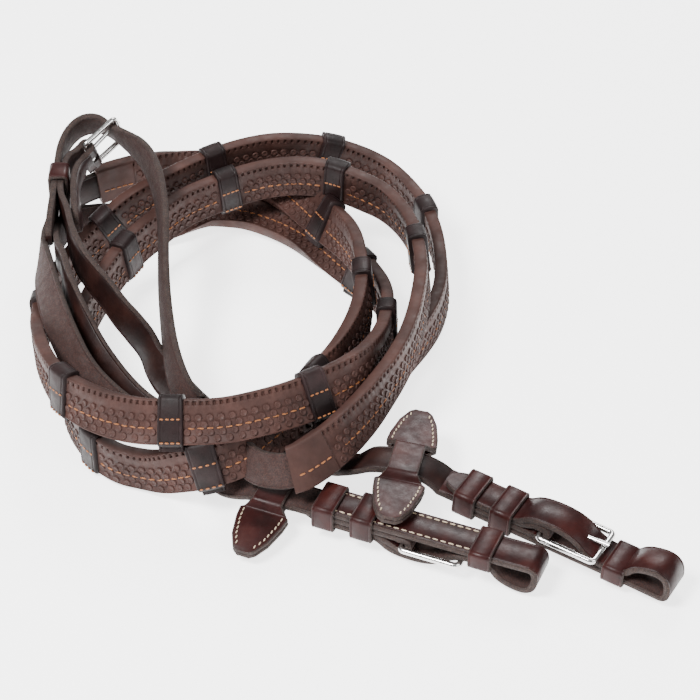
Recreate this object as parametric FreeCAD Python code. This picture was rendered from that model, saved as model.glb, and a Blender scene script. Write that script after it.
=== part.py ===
"""A pair of riding reins, coiled and laid down: two leather rein straps with pimpled
rubber grip sleeves and leather hand stops, joined by a small buckle at the centre, each
with a buckled bit end and a sliding martingale stop."""

import FreeCAD
import Part

import math
import os

from FreeCAD import Matrix, Vector

# ---- Driving dimensions, millimetres ----
STRAP_W = 16.0          # width of the rein leather
LEATHER_T = 3.0         # thickness of the rein leather
LAYER = LEATHER_T + 0.1  # pitch of two leathers that lie on each other
GRIP_W = 20.5           # width over the rubber grip
GRIP_T = 6.4            # thickness over the rubber grip
GRIP_END = 20.0         # smooth end of a grip sleeve
GRIP_END_EXTRA = 0.5    # how much wider and thicker the smooth end is
SLEEVE_GAP = 0.1        # between the leather and the inside of its sleeve
STOP_LENGTH = 11.0      # a hand stop, measured along the rein
STOP_WALL = 1.3
STOP_GAP = 0.15
WIRE_D = 2.8            # stainless buckle wire
TONGUE_D = 2.2
BUCKLE_INNER_W = 18.0   # between the two side rails
KEEPER_W = 10.5
KEEPER_T = 1.6
KEEPER_GAP = 0.2
PLATE_T = 2.2           # one layer of a martingale stop
PLATE_RISE = 3.45       # how far the top layer rises over the strap
PLATE_HALF = ((7.0, 0), (7.0, 9.5), (11.5, 13.5), (11.0, 19.0), (8.6, 29.0), (5.5, 35.2), (3.2, 37.0))
BEND = 0.45             # share of the shorter run that an arc takes

# The whole model is moved by this, so that its box stands centred on the origin.
SHIFT = Vector(0.3, 23.2, 1.3)

# ---- Routes: x, y, z of the middle of the strap and its lean in degrees from upright ----
# The left one starts at the centre buckle, the right one at the tip of its centre billet.
# A positive lean tips the upper edge to the right.
LEFT_PLAIN = [
    (-137, 97, 37, -10), (-138, 88, 38, -3), (-138, 77, 39, 0), (-138, 62, 39, 0), (-133, 48, 40, 0),
    (-130, 31, 41, -4), (-124, 12, 42, -10), (-117, 0, 41, -12),
    (-110, -8, 38, -12), (-104, -15, 33, -12), (-97, -20, 27, -12), (-91, -24, 20, -12),
    (-87, -30, 15, -25), (-84, -34, 11, -40), (-79, -44, 13, -50), (-73, -57, 17, -50),
    (-68, -63, 16, -40), (-63, -66, 14, -20), (-59, -69, 12, 0), (-60, -74, 11, 0), (-65, -77, 10, 0),
    (-73, -75, 9, 0), (-82, -72, 10, 5), (-93, -68, 12, 15), (-104, -65, 19, 25), (-118, -54, 27, 35),
    (-128, -36, 35, 42), (-136, -14, 38, 42), (-142, 13, 36, 30), (-146, 38, 28, 7), (-145, 61, 22, 6),
    (-144, 85, 15, 3), (-140, 102, 10, 0), (-134, 110, 10, 0),
]
LEFT_RUBBER = [
    (-125, 114, 12, 0), (-110, 122, 12, 0), (-96, 124, 13, -10), (-82, 120, 16, -40),
    (-69, 118, 18, -60), (-55, 114, 19, -72), (-40, 109, 18.5, -82), (-28, 101, 18.5, -74),
    (-9, 74, 20, -38), (5, 45, 27, -8), (10, 23, 30, 5), (11, 2, 30, 8), (9, -15, 28, 10),
    (5, -28, 25, 16), (0, -43, 25, 28), (-6, -54, 25, 45), (-13, -70, 27, 60), (-25, -90, 31, 50),
    (-43, -105, 25, 38), (-59, -112, 24, 24), (-72, -107, 17, 11), (-81, -103, 12, 5),
    (-89, -100, 11, 0), (-99, -97, 11, 0), (-108, -90, 11, 0), (-115, -81, 11, 0), (-123, -66, 11, 0),
    (-127, -49, 11, 0), (-128, -30, 12, -4), (-125, -10, 14, -5), (-120, 7, 18, -5), (-112, 25, 22, -5),
    (-102, 44, 25, -5), (-90, 58, 27, -4), (-79, 71, 29, -2), (-65, 80, 30, 0), (-51, 86, 32, 0),
    (-35, 90, 34, 0), (-19, 89, 36, 0), (-4, 86, 35, 0), (9, 79, 34, 0), (22, 73, 31, 3),
    (32, 57, 30, 5), (37, 35, 32, 6), (39, 10, 34, 6), (37, -9, 34, 5), (34, -27, 33, 5),
    (30, -43, 33, 6), (25, -57, 33, 8), (19, -69, 32, 12), (11, -84, 31, 20), (1, -100, 31, 28),
    (-9, -110, 29, 33), (-22, -121, 28, 36),
]
LEFT_TAIL = [
    (-37, -114, 24, 30), (-43, -104, 23, 18), (-47, -95, 16, 8), (-48, -88, 10, 0), (-48, -81, 10, 0),
    (-44, -76, 10, 0), (-39, -76, 10, -5), (-27, -80, 7, -50), (-12, -84, 5, -78),
]
RIGHT_PLAIN = [
    (-141, 32, 39, 0), (-141, 49, 39, 0), (-141, 66, 39, 0), (-141, 84, 40, 0), (-141, 98, 42, 4),
    (-138, 109, 45, 12), (-131, 116, 48, 20), (-122, 117, 48, 26), (-115, 112, 46, 26), (-106, 103, 45, 12),
    (-97, 87, 49, -8), (-90, 65, 50, -12), (-86, 42, 48, -12), (-85, 21, 43, -12),
    (-84, 1, 37, -12), (-82, -17, 30, -12), (-79, -39, 28, -16), (-75, -58, 28, -22),
    (-69, -67, 21, -14), (-68, -58, 10, 0), (-68, -62, 9, 0), (-71, -66, 9, 0), (-76, -65, 9, 0),
    (-84, -62, 9, 10), (-93, -57, 11, 20), (-104, -48, 17, 28), (-114, -38, 26, 34),
    (-121, -25, 32, 32), (-126, -13, 37, 20), (-130, 2, 39, 8), (-132, 14, 39, 0), (-137, 28, 35, 0),
    (-139, 51, 27, 0), (-137, 73, 18, -3), (-127, 83, 13, -8), (-116, 86, 11, -25),
]
RIGHT_RUBBER = [
    (-101, 80, 11, -15), (-85, 88, 11, -40), (-71, 98, 10, -64), (-60, 98, 9, -74), (-46, 96, 8, -82),
    (-29, 88, 6.5, -83), (-15, 77, 6, -81), (-2, 57, 10, -50), (13, 36, 12, -12), (22, 12, 17, 0),
    (22, -12, 22, 3), (19, -36, 29, 7), (13, -59, 38, 14), (5, -73, 42, 24), (-6, -83, 43, 33),
    (-20, -92, 43, 38), (-34, -98, 43, 40), (-53, -102, 41, 40), (-75, -101, 40, 40),
    (-91, -98, 38, 36), (-106, -90, 36, 28), (-118, -80, 34, 16), (-128, -69, 33, 5),
    (-136, -49, 29, 0), (-142, -24, 22, -3), (-143, -3, 17, -5), (-142, 17, 13, -5), (-137, 38, 11, -5),
    (-128, 55, 13, -5), (-116, 65, 20, -5), (-103, 74, 28, -4), (-89, 83, 31, -2), (-71, 96, 33, 0),
    (-54, 104, 35, 0), (-38, 110, 35, 0), (-25, 112, 34, 0), (-11, 114, 31, 0), (1, 115, 27, 0),
    (13, 112, 24, 0), (24, 106, 21, 0), (34, 95, 18, 2), (42, 81, 16, 3), (47, 64, 14, 4),
    (49, 46, 12, 4), (49, 27, 11, 4), (45, 8, 11, 4), (38, -8, 11, 2), (30, -22, 11, 0),
    (25, -34, 11, 0), (18, -47, 11, 0), (9, -61, 11, 0), (2, -73, 11, 20),
]
RIGHT_TAIL = [
    (-11, -69, 8, 45), (-22, -68, 9, 60), (-33, -66, 8, 50), (-43, -71, 12, 15), (-52, -79, 13, 0),
    (-55, -87, 9, 0), (-57, -97, 8, -30), (-51, -105, 9, -55), (-42, -109, 10, -76),
]

# ---- Bit ends: where distance 0 along the end lies, and its heading ----
LEFT_BIT_START = Vector(7.6, -89.9, 0)
LEFT_BIT_HEADING = Vector(0.865, -0.502, 0)
RIGHT_BIT_START = Vector(-58.2, -102.0, 0)
RIGHT_BIT_HEADING = Vector(0.923, -0.385, 0)
LEFT_PITCH = 4.0        # degrees that the left end rises towards the stop
BIT_TOP = 17.6          # height of the right end, which lies buckle down

# Distances along a bit end and heights above its lowest keeper
LAID_FROM = 44.0        # from here on the strap is straight and flat
BASE_Z = 2.1 + LEATHER_T / 2
MAIN_Z = BASE_Z + LAYER
TIP_Z = MAIN_Z + LAYER
CHAPE_BAR = 95.0
FAR_BAR = 122.0
WRAP_R = WIRE_D / 2 + 0.1 + LEATHER_T / 2
BAR_Z = MAIN_Z + WRAP_R
ARCH_Z = BAR_Z + WRAP_R + LAYER
KEEPER_AT = (58.0, 76.0, 131.0)
LOOP_END = 156.0
LOOP_R = 6.2

# Along a bit end, across it, lift above its line, lean: how each rein comes up to it.
# The martingale stop sits on the last run.
BIT_APPROACH = {
    "left": [(-3, -8, -9, -90), (5, -9.5, -2, -92), (14, -7.6, 5, -92), (37, -0.3, 5, -92)],
    "right": [(22, 0, 0, -84), (40, 0, 0, -84)],
}
STOP_PLACE = {"left": (12.8, -2.0), "right": (10.0, 6.0)}   # distance along that run, tilt

# ---- The centre buckle: the middle of its chape bar and how it lies ----
CENTRE_BAR = Vector(-127.2, 102, 39)
CENTRE_LENGTH = 20.5
CENTRE_BACK = 5.0
JOIN = 0.4              # how far the turned-back end runs into the fold
CENTRE_KEEPER = (Vector(-142.5, 75.5, 39.4), 6.2)
TURN_BACK = [(-128, 42, 39, -8), (-129, 53, 39, -8), (-131, 67, 39, -6), (-132, 81, 38, 0), (-131, 92, 36, 8)]

# Distances of the hand stops from the start of their grip
HAND_STOPS = {
    "left": (140, 205, 275, 354, 416, 549, 616, 671, 743),
    "right": (140, 196, 284, 350, 411, 490, 564, 627, 687, 754),
}


def bend_route(points):
    """Straight runs joined by tangent arcs: a list of (place, heading, lean)."""
    spots = [Vector(*p[:3]) for p in points]
    leans = [p[3] for p in points]
    stations = [(spots[0], spots[1] - spots[0], leans[0])]
    for i in range(1, len(spots) - 1):
        before, after = spots[i] - spots[i - 1], spots[i + 1] - spots[i]
        cut = BEND * min(before.Length, after.Length)
        enter = spots[i] - before * (cut / before.Length)
        leave = spots[i] + after * (cut / after.Length)
        lean_in = leans[i] + (leans[i - 1] - leans[i]) * cut / before.Length
        lean_out = leans[i] + (leans[i + 1] - leans[i]) * cut / after.Length
        turn = before.getAngle(after)
        stations.append((enter, before, lean_in))
        if turn > math.radians(3):
            radius = cut / math.tan(turn / 2)
            bisector = (leave - spots[i]).normalize() + (enter - spots[i]).normalize()
            bisector.normalize()
            middle = spots[i] + bisector * (radius / math.cos(turn / 2) - radius)
            stations.append((middle, leave - enter, (lean_in + 2 * leans[i] + lean_out) / 4))
        stations.append((leave, after, lean_out))
    stations.append((spots[-1], spots[-1] - spots[-2], leans[-1]))
    return stations


def axes(heading, lean):
    """The directions of a strap's width and thickness, from its heading and lean."""
    along = Vector(heading).normalize()
    right = Vector(along.y, -along.x, 0).normalize()
    up = right.cross(along)
    tip = math.radians(lean)
    width = up * math.cos(tip) + right * math.sin(tip)
    thick = right * math.cos(tip) - up * math.sin(tip)
    return width, thick


def section(station, width, thickness):
    """A rectangle across the strap at one station."""
    place, heading, lean = station
    across, through = axes(heading, lean)
    half_w, half_t = across * (width / 2), through * (thickness / 2)
    corners = [
        place - half_w - half_t,
        place + half_w - half_t,
        place + half_w + half_t,
        place - half_w + half_t,
    ]
    return Part.makePolygon(corners + corners[:1])


def strap_solid(stations, width, thickness):
    """A flat strap along a list of stations."""
    sections = [section(s, width, thickness) for s in stations]
    return Part.makeLoft(sections, True, True)


def distances(stations):
    """The distance along the path to each station."""
    total = [0.0]
    for a, b in zip(stations, stations[1:]):
        total.append(total[-1] + (b[0] - a[0]).Length)
    return total


def station_at(stations, distance):
    """The station at a distance along the path."""
    total = distances(stations)
    for i in range(len(stations) - 1):
        if total[i + 1] >= distance:
            break
    share = (distance - total[i]) / (total[i + 1] - total[i])
    a, b = stations[i], stations[i + 1]
    heading = Vector(a[1]).normalize() * (1 - share) + Vector(b[1]).normalize() * share
    return (a[0] + (b[0] - a[0]) * share, heading, a[2] + (b[2] - a[2]) * share)


def stretch(stations, start, end):
    """The stations between two distances along the path."""
    total = distances(stations)
    inner = [s for s, d in zip(stations, total) if start + 0.3 < d < end - 0.3]
    return [station_at(stations, start)] + inner + [station_at(stations, end)]


def sized_sections(stations, width, thickness):
    return [section(s, width, thickness) for s in stations]


def tube(outer, inner):
    """A solid between two rows of sections that start and end in the same planes."""
    faces = Part.makeLoft(outer, False, True).Faces + Part.makeLoft(inner, False, True).Faces
    for i in (0, -1):
        faces.append(Part.Face(outer[i]).cut(Part.Face(inner[i])).Faces[0])
    shell = Part.makeShell(faces)
    shell.sewShape()
    solid = Part.Solid(shell)
    if solid.Volume < 0:
        solid.reverse()
    return solid


def grip_sleeve(stations, start, end):
    """The rubber sleeve over the strap, with a smooth and slightly larger part at each end."""
    step = 0.8
    first = stretch(stations, start, start + GRIP_END)
    middle = stretch(stations, start + GRIP_END + step, end - GRIP_END - step)
    last = stretch(stations, end - GRIP_END, end)
    large = (GRIP_W + GRIP_END_EXTRA, GRIP_T + GRIP_END_EXTRA)
    outer = sized_sections(first, *large) + sized_sections(middle, GRIP_W, GRIP_T) + sized_sections(last, *large)
    inner = sized_sections(first + middle + last, STRAP_W + 2 * SLEEVE_GAP, LEATHER_T + 2 * SLEEVE_GAP)
    return tube(outer, inner)


def hand_stop(stations, distance):
    """A leather band wrapped round the grip."""
    path = stretch(stations, distance - STOP_LENGTH / 2, distance + STOP_LENGTH / 2)
    inner_w, inner_t = GRIP_W + 2 * STOP_GAP, GRIP_T + 2 * STOP_GAP
    outer = sized_sections(path, inner_w + 2 * STOP_WALL, inner_t + 2 * STOP_WALL)
    return tube(outer, sized_sections(path, inner_w, inner_t))


def band(points, radii, thickness, width):
    """A strap of constant width whose side view is runs joined by arcs, in the X-Z plane."""
    spots = [Vector(x, 0, z) for x, z in points]
    parts = []
    at = spots[0]
    for i in range(1, len(spots) - 1):
        before = (spots[i] - spots[i - 1]).normalize()
        after = (spots[i + 1] - spots[i]).normalize()
        turn = before.getAngle(after)
        cut = radii[i - 1] * math.tan(turn / 2)
        enter, leave = spots[i] - before * cut, spots[i] + after * cut
        side = 1 if before.cross(after).y < 0 else -1
        centre = enter + Vector(-before.z, 0, before.x) * (side * radii[i - 1])
        middle = centre + (spots[i] - centre).normalize() * radii[i - 1]
        parts.append(("line", at, enter, None, None, 0))
        parts.append(("arc", enter, leave, middle, centre, side * radii[i - 1]))
        at = leave
    parts.append(("line", at, spots[-1], None, None, 0))

    def offset(part, gap):
        kind, a, b, middle, centre, radius = part
        if kind == "line":
            if (b - a).Length < 1e-6:
                return None
            along = (b - a).normalize()
            move = Vector(-along.z, 0, along.x) * gap
            return Part.LineSegment(a + move, b + move).toShape()
        factor = (radius - gap) / radius
        places = [centre + (p - centre) * factor for p in (a, middle, b)]
        return Part.Arc(*places).toShape()

    left = [e for e in (offset(p, thickness / 2) for p in parts) if e]
    right = [e for e in (offset(p, -thickness / 2) for p in parts) if e]
    start = Part.LineSegment(right[0].Vertexes[0].Point, left[0].Vertexes[0].Point).toShape()
    end = Part.LineSegment(left[-1].Vertexes[-1].Point, right[-1].Vertexes[-1].Point).toShape()
    outline = Part.Wire(Part.__sortEdges__([start] + left + [end] + right))
    solid = Part.Face(outline).extrude(Vector(0, width, 0))
    solid.translate(Vector(0, -width / 2, 0))
    return solid


def rod(a, b, diameter):
    return Part.makeCylinder(diameter / 2, (b - a).Length, a, b - a)


def buckle_frame(near, far, z):
    """A rectangular wire frame in the X-Y plane at height z, with its near bar along Y."""
    half = (BUCKLE_INNER_W + WIRE_D) / 2
    corner = 2.2
    spots = [Vector(near, -half, z), Vector(far, -half, z), Vector(far, half, z), Vector(near, half, z)]
    edges = []
    for i in range(4):
        here, following, past = spots[i], spots[(i + 1) % 4], spots[(i + 2) % 4]
        along, onward = (following - here).normalize(), (past - following).normalize()
        edges.append(Part.LineSegment(here + along * corner, following - along * corner).toShape())
        centre = following - along * corner + onward * corner
        middle = centre + (following - centre).normalize() * corner
        edges.append(Part.Arc(following - along * corner, middle, following + onward * corner).toShape())
    path = Part.Wire(edges)
    start = edges[0].Vertexes[0].Point
    circle = Part.Wire(Part.makeCircle(WIRE_D / 2, start, Vector(1, 0, 0)))
    return path.makePipeShell([circle], True, False)


def buckle_tongue(near, far, z):
    """A ring on the near bar and a prong that rests on the far bar."""
    ring = Part.makeCylinder(WIRE_D / 2 + 0.25 + TONGUE_D, TONGUE_D, Vector(near, -TONGUE_D / 2, z), Vector(0, 1, 0))
    tip_z = z + WIRE_D / 2 + TONGUE_D / 2 + 0.15
    prong = rod(Vector(near + WIRE_D / 2 + 0.6, 0, z + 1.2), Vector(far + 2.4, 0, tip_z + 0.25), TONGUE_D)
    eye = Part.makeCylinder(WIRE_D / 2 + 0.25, 4, Vector(near, -2, z), Vector(0, 1, 0))
    return ring.fuse(prong).cut(eye).cut(
        Part.makeCylinder(WIRE_D / 2, 30, Vector(far, -15, z), Vector(0, 1, 0)))


def keeper(at, low, high, width=STRAP_W, length=KEEPER_W):
    """A leather loop round the straps between two heights."""
    inner = Part.makeBox(length, width + 2 * KEEPER_GAP, high - low + 2 * KEEPER_GAP,
                         Vector(at - length / 2, -width / 2 - KEEPER_GAP, low - KEEPER_GAP))
    wall = KEEPER_GAP + KEEPER_T
    outer = Part.makeBox(length, width + 2 * wall, high - low + 2 * wall,
                         Vector(at - length / 2, -width / 2 - wall, low - wall))
    outer = outer.makeFillet(1.2, [e for e in outer.Edges if abs(e.tangentAt(e.FirstParameter).x) > 0.9])
    return outer.cut(inner)


def stop_plate(z, rise):
    """One layer of a martingale stop, across X: its heads at height z, its middle raised."""
    half, bridge, ramp = PLATE_HALF[-1][1], STRAP_W / 2 + 1.2, 3.5
    points = [(-half, z), (half, z)]
    if rise:
        points[1:1] = [(-bridge - ramp, z), (-bridge, z + rise), (bridge, z + rise), (bridge + ramp, z)]
    layer = band(points, [2.6] * (len(points) - 2), PLATE_T, 2 * PLATE_HALF[2][0] + 2)
    layer.rotate(Vector(0, 0, 0), Vector(0, 0, 1), 90)
    quarter = PLATE_HALF[1:]
    outline = list(quarter) + [(-x, y) for x, y in reversed(quarter)]
    outline += [(-x, -y) for x, y in quarter] + [(x, -y) for x, y in reversed(quarter)]
    outline = [Vector(x, y, z - 20) for x, y in outline]
    prism = Part.Face(Part.makePolygon(outline + outline[:1])).extrude(Vector(0, 0, 60))
    return layer.common(prism)


def fold(bar, back, side):
    """The strap's turn round a bar at X = bar, cut for the tongue: it ends at X = back twice."""
    turn = side * WRAP_R
    points = [(back, -turn), (bar + WRAP_R, -turn), (bar + WRAP_R, turn), (back, turn)]
    wrap = band(points, [WRAP_R - 0.01] * 2, LEATHER_T, STRAP_W)
    width = TONGUE_D + 1.4
    slot = Part.makeBox(WRAP_R + 8, width, 4 * WRAP_R, Vector(bar - 4.4, -width / 2, -2 * WRAP_R))
    return wrap.cut(slot)


def bit_end_shapes():
    """The straight end of a rein in its own frame: X along it, Z up, buckle upwards."""
    shapes = {}
    top = MAIN_Z + 2 * WRAP_R
    turn = CHAPE_BAR + WRAP_R
    chape = [(LAID_FROM, MAIN_Z), (turn, MAIN_Z), (turn, top), (CHAPE_BAR - 3, top),
             (CHAPE_BAR - 10, MAIN_Z + LAYER), (CHAPE_BAR - 14, MAIN_Z + LAYER)]
    main = band(chape, [WRAP_R - 0.01, WRAP_R - 0.01, 3.0, 3.0], LEATHER_T, STRAP_W)
    width = TONGUE_D + 1.4
    slot = Part.makeBox(WRAP_R + 8, width, 4 * WRAP_R, Vector(CHAPE_BAR - 4.4, -width / 2, MAIN_Z - 2))
    shapes["main"] = main.cut(slot)
    loop_z = BASE_Z + LOOP_R
    billet = [(KEEPER_AT[0] - 4, BASE_Z), (LOOP_END - LEATHER_T / 2 + 2.2, BASE_Z - 0.6),
              (LOOP_END - LEATHER_T / 2, loop_z + 7.0), (KEEPER_AT[2] + 9, loop_z + 4.4), (KEEPER_AT[2] + 4, MAIN_Z),
              (FAR_BAR - 3, MAIN_Z), (FAR_BAR - 13, ARCH_Z), (CHAPE_BAR - 5, ARCH_Z),
              (KEEPER_AT[1] + 7, TIP_Z), (LAID_FROM, TIP_Z)]
    radii = [5.6, 5.6, 5.0, 3.0, 4.0, 7.0, 7.0, 7.0]
    strap = band(billet, radii, LEATHER_T, STRAP_W)
    hole = Part.makeBox(9, TONGUE_D + 1.0, 9, Vector(FAR_BAR - 14.5, -(TONGUE_D + 1.0) / 2, BAR_Z - 1.5))
    shapes["billet"] = strap.cut(hole)
    shapes["frame"] = buckle_frame(CHAPE_BAR, FAR_BAR, BAR_Z)
    shapes["tongue"] = buckle_tongue(CHAPE_BAR, FAR_BAR, BAR_Z)
    low, half = BASE_Z - LEATHER_T / 2, LEATHER_T / 2
    for i, at in enumerate(KEEPER_AT):
        top = MAIN_Z + half if i == 2 else TIP_Z + half
        shapes["keeper_%d" % (i + 1)] = keeper(at, low, top)
    return shapes


def frame_matrix(origin, along, across, up):
    """The matrix that takes X, Y and Z to three directions, and the origin to a point."""
    return Matrix(along.x, across.x, up.x, origin.x, along.y, across.y, up.y, origin.y,
                  along.z, across.z, up.z, origin.z, 0, 0, 0, 1)


def left_bit_frame():
    """Buckle up, the far end on the floor and the near end raised."""
    pitch = math.radians(LEFT_PITCH)
    flat = Vector(LEFT_BIT_HEADING).normalize()
    along = flat * math.cos(pitch) - Vector(0, 0, 1) * math.sin(pitch)
    across = Vector(-flat.y, flat.x, 0)
    up = along.cross(across)
    origin = LEFT_BIT_START + Vector(0, 0, math.sin(pitch) * LOOP_END)
    return origin, along, across, up


def right_bit_frame():
    """Buckle down, with the arch of the billet on the floor."""
    along = Vector(RIGHT_BIT_HEADING).normalize()
    across = Vector(along.y, -along.x, 0)
    return RIGHT_BIT_START + Vector(0, 0, BIT_TOP), along, across, Vector(0, 0, -1)


def lay(shape, frame):
    return shape.transformed(frame_matrix(*frame))


def at_end(frame, x, z):
    """A point in a bit end's frame, in the model's."""
    origin, along, across, up = frame
    return origin + along * x + up * z


def centre_frame():
    """The centre buckle: X from the chape bar to the far bar, Z towards the billet."""
    along = Vector(0.715, 0.569, 0.407).normalize()
    bar = Vector(-0.139, -0.454, 0.88)
    bar = (bar - along * bar.dot(along)).normalize()
    return CENTRE_BAR, along, bar * -1, bar.cross(along)


def centre_shapes(frame):
    """The centre buckle and its keeper, and the two rein ends that meet in it."""
    origin, along, across, up = frame
    shapes = {
        "centre_buckle_frame": lay(buckle_frame(0, CENTRE_LENGTH, 0), frame),
        "centre_buckle_tongue": lay(buckle_tongue(0, CENTRE_LENGTH, 0), frame),
        "fold": lay(fold(0, -CENTRE_BACK, 1), frame),
        "hole": lay(Part.makeBox(8, TONGUE_D + 1.0, 8, Vector(CENTRE_LENGTH - 8, -(TONGUE_D + 1.0) / 2, -1)), frame),
    }
    low, width = CENTRE_KEEPER
    band_wall = KEEPER_GAP + KEEPER_T
    inner = Part.makeBox(width + 2 * KEEPER_GAP, 13, STRAP_W + 2 * KEEPER_GAP,
                         low - Vector(KEEPER_GAP, 6.5, STRAP_W / 2 + KEEPER_GAP))
    outer = Part.makeBox(width + 2 * band_wall, 13, STRAP_W + 2 * band_wall,
                         low - Vector(band_wall, 6.5, STRAP_W / 2 + band_wall))
    outer = outer.makeFillet(1.2, [e for e in outer.Edges if abs(e.tangentAt(e.FirstParameter).y) > 0.9])
    shapes["centre_keeper"] = outer.cut(inner)
    return shapes


def lean_of(heading, width):
    """The lean of a strap whose width direction is given."""
    along = Vector(heading).normalize()
    right = Vector(along.y, -along.x, 0).normalize()
    return math.degrees(math.atan2(width.dot(right), width.dot(right.cross(along))))


def pointed(stations, width, thickness):
    """A strap whose first few millimetres narrow to a blunt point."""
    sections = []
    for reach, share in ((0, 0.35), (2, 0.7), (6, 0.94), (10, 1.0)):
        sections.append(section(station_at(stations, reach), width * share, thickness))
    rest = stretch(stations, 10.5, distances(stations)[-1])[1:]
    sections += [section(s, width, thickness) for s in rest]
    return Part.makeLoft(sections, True, True)


def approach(side, frame):
    """Where a rein comes up to its bit end: a list of (place, lean)."""
    left_hand = Vector(0, 0, 1).cross(frame[1]).normalize()
    places = []
    for x, across, lift, lean in BIT_APPROACH[side]:
        place = at_end(frame, x, MAIN_Z) + left_hand * across + Vector(0, 0, lift)
        places.append((place, lean))
    return places


def end_route(side, frame, flat):
    """The last points of a rein, where it comes up to its straight bit end."""
    points = [(p.x, p.y, p.z, lean) for p, lean in approach(side, frame)]
    meet = at_end(frame, LAID_FROM, MAIN_Z)
    return points + [(meet.x, meet.y, meet.z, flat)]


def rein_path(side):
    """All stations of a rein, and the distances at which its grip starts and ends."""
    plain, rubber, tail, frame = REINS[side]
    route = plain + rubber + tail + end_route(side, frame, -90)
    if side == "left":
        origin, along, across, up = centre_frame()
        start = origin - along * CENTRE_BACK + up * WRAP_R
        route = [(start.x, start.y, start.z, lean_of(along * -1, across * -1))] + route
    stations = bend_route(route)
    if side == "left":
        stations[0] = (stations[0][0], along * -1, route[0][3])
    stations[-1] = (stations[-1][0], frame[1], -90)
    total = distances(stations)
    ends = []
    for spot in (rubber[0], rubber[-1]):
        gaps = [(s[0] - Vector(*spot[:3])).Length for s in stations]
        ends.append(total[gaps.index(min(gaps))])
    return stations, ends[0], ends[1]


def stop_frame(side, frame):
    """A martingale stop: X along the rein, Z up from the middle of the strap."""
    at, tilt = STOP_PLACE[side]
    (first, _), (last, _) = approach(side, frame)[-2:]
    along = (last - first).normalize()
    side_way = Vector(0, 0, 1).cross(along).normalize()
    rise = along.cross(side_way)
    turn = math.radians(tilt)
    tilted = side_way * math.cos(turn) + rise * math.sin(turn)
    return first + along * at, along, tilted, along.cross(tilted)


def main():
    os.makedirs("parts", exist_ok=True)
    parts = centre_shapes(centre_frame())
    wrap, hole = parts.pop("fold"), parts.pop("hole")
    origin, along, across, up = centre_frame()
    back = origin - along * (CENTRE_BACK - JOIN) - up * WRAP_R
    turned = [(back.x, back.y, back.z, lean_of(along, across * -1))]
    turned = bend_route(TURN_BACK + turned)
    turned[-1] = (turned[-1][0], along, turned[-1][2])
    for side in ("left", "right"):
        frame = REINS[side][3]
        stations, start, end = rein_path(side)
        ends = bit_end_shapes()
        tail = lay(ends["main"], frame)
        if side == "left":
            strap = strap_solid(stations, STRAP_W, LEATHER_T)
            strap = strap.fuse(tail).fuse(wrap).fuse(pointed(turned, STRAP_W, LEATHER_T))
        else:
            strap = pointed(stations, STRAP_W, LEATHER_T).cut(hole).fuse(tail)
        parts[side + "_rein_strap"] = strap
        parts[side + "_grip_sleeve"] = grip_sleeve(stations, start, end)
        for i, distance in enumerate(HAND_STOPS[side]):
            parts["%s_hand_stop_%d" % (side, i + 1)] = hand_stop(stations, start + distance)
        parts[side + "_bit_billet"] = lay(ends["billet"], frame)
        parts[side + "_bit_buckle_frame"] = lay(ends["frame"], frame)
        parts[side + "_bit_buckle_tongue"] = lay(ends["tongue"], frame)
        parts[side + "_running_keeper_1"] = lay(ends["keeper_1"], frame)
        parts[side + "_running_keeper_2"] = lay(ends["keeper_2"], frame)
        parts[side + "_fixed_keeper"] = lay(ends["keeper_3"], frame)
        place = stop_frame(side, frame)
        low = -LEATHER_T / 2 - 0.2 - PLATE_T / 2
        parts[side + "_stop_base"] = lay(stop_plate(low, 0), place)
        parts[side + "_stop_top"] = lay(stop_plate(low + PLATE_T, PLATE_RISE), place)
        print(side, "length", round(distances(stations)[-1]), "grip", round(start), round(end))
    for name, shape in parts.items():
        shape.translate(SHIFT)
        shape.exportStep("parts/%s.step" % name)
        box = shape.BoundBox
        print(name, shape.isValid(), len(shape.Solids), round(shape.Volume), [round(v, 1) for v in (
            box.XMin, box.XMax, box.YMin, box.YMax, box.ZMin, box.ZMax)])


REINS = {
    "left": (LEFT_PLAIN, LEFT_RUBBER, LEFT_TAIL, left_bit_frame()),
    "right": (RIGHT_PLAIN, RIGHT_RUBBER, RIGHT_TAIL, right_bit_frame()),
}

main()
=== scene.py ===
"""A pair of riding reins, coiled and laid on a table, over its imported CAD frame."""
import math

import bpy
import numpy as np
from mathutils import Matrix, Vector


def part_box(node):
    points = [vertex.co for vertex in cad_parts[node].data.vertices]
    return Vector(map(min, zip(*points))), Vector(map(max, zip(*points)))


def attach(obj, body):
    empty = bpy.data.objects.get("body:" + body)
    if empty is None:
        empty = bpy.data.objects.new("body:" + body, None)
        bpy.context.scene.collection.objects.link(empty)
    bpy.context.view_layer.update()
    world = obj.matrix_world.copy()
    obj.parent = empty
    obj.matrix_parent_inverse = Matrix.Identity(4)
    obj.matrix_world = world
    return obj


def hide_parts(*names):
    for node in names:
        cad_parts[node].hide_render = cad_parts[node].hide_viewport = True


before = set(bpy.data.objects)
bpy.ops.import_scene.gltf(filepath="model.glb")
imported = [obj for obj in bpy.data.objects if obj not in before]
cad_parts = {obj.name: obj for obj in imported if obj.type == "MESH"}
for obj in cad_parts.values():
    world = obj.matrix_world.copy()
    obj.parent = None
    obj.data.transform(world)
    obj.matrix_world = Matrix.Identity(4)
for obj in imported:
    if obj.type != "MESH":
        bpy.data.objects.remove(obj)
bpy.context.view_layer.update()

# ---- Sizes in metres, as in the CAD ----
STRAP_W = 0.016
LEATHER_T = 0.003
GRIP_W = 0.0205
GRIP_T = 0.0064
GRIP_END = 0.020
STOP_LENGTH = 0.011
WIRE_R = 0.0014
BASE_Z = 0.0036
MAIN_Z = 0.0067
TIP_Z = 0.0098
CHAPE_BAR = 0.095
FAR_BAR = 0.122
BAR_Z = 0.0097
ARCH_Z = 0.0158
KEEPER_AT = (0.058, 0.076, 0.131)
LAID_FROM = 0.044
LOOP_END = 0.156
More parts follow.
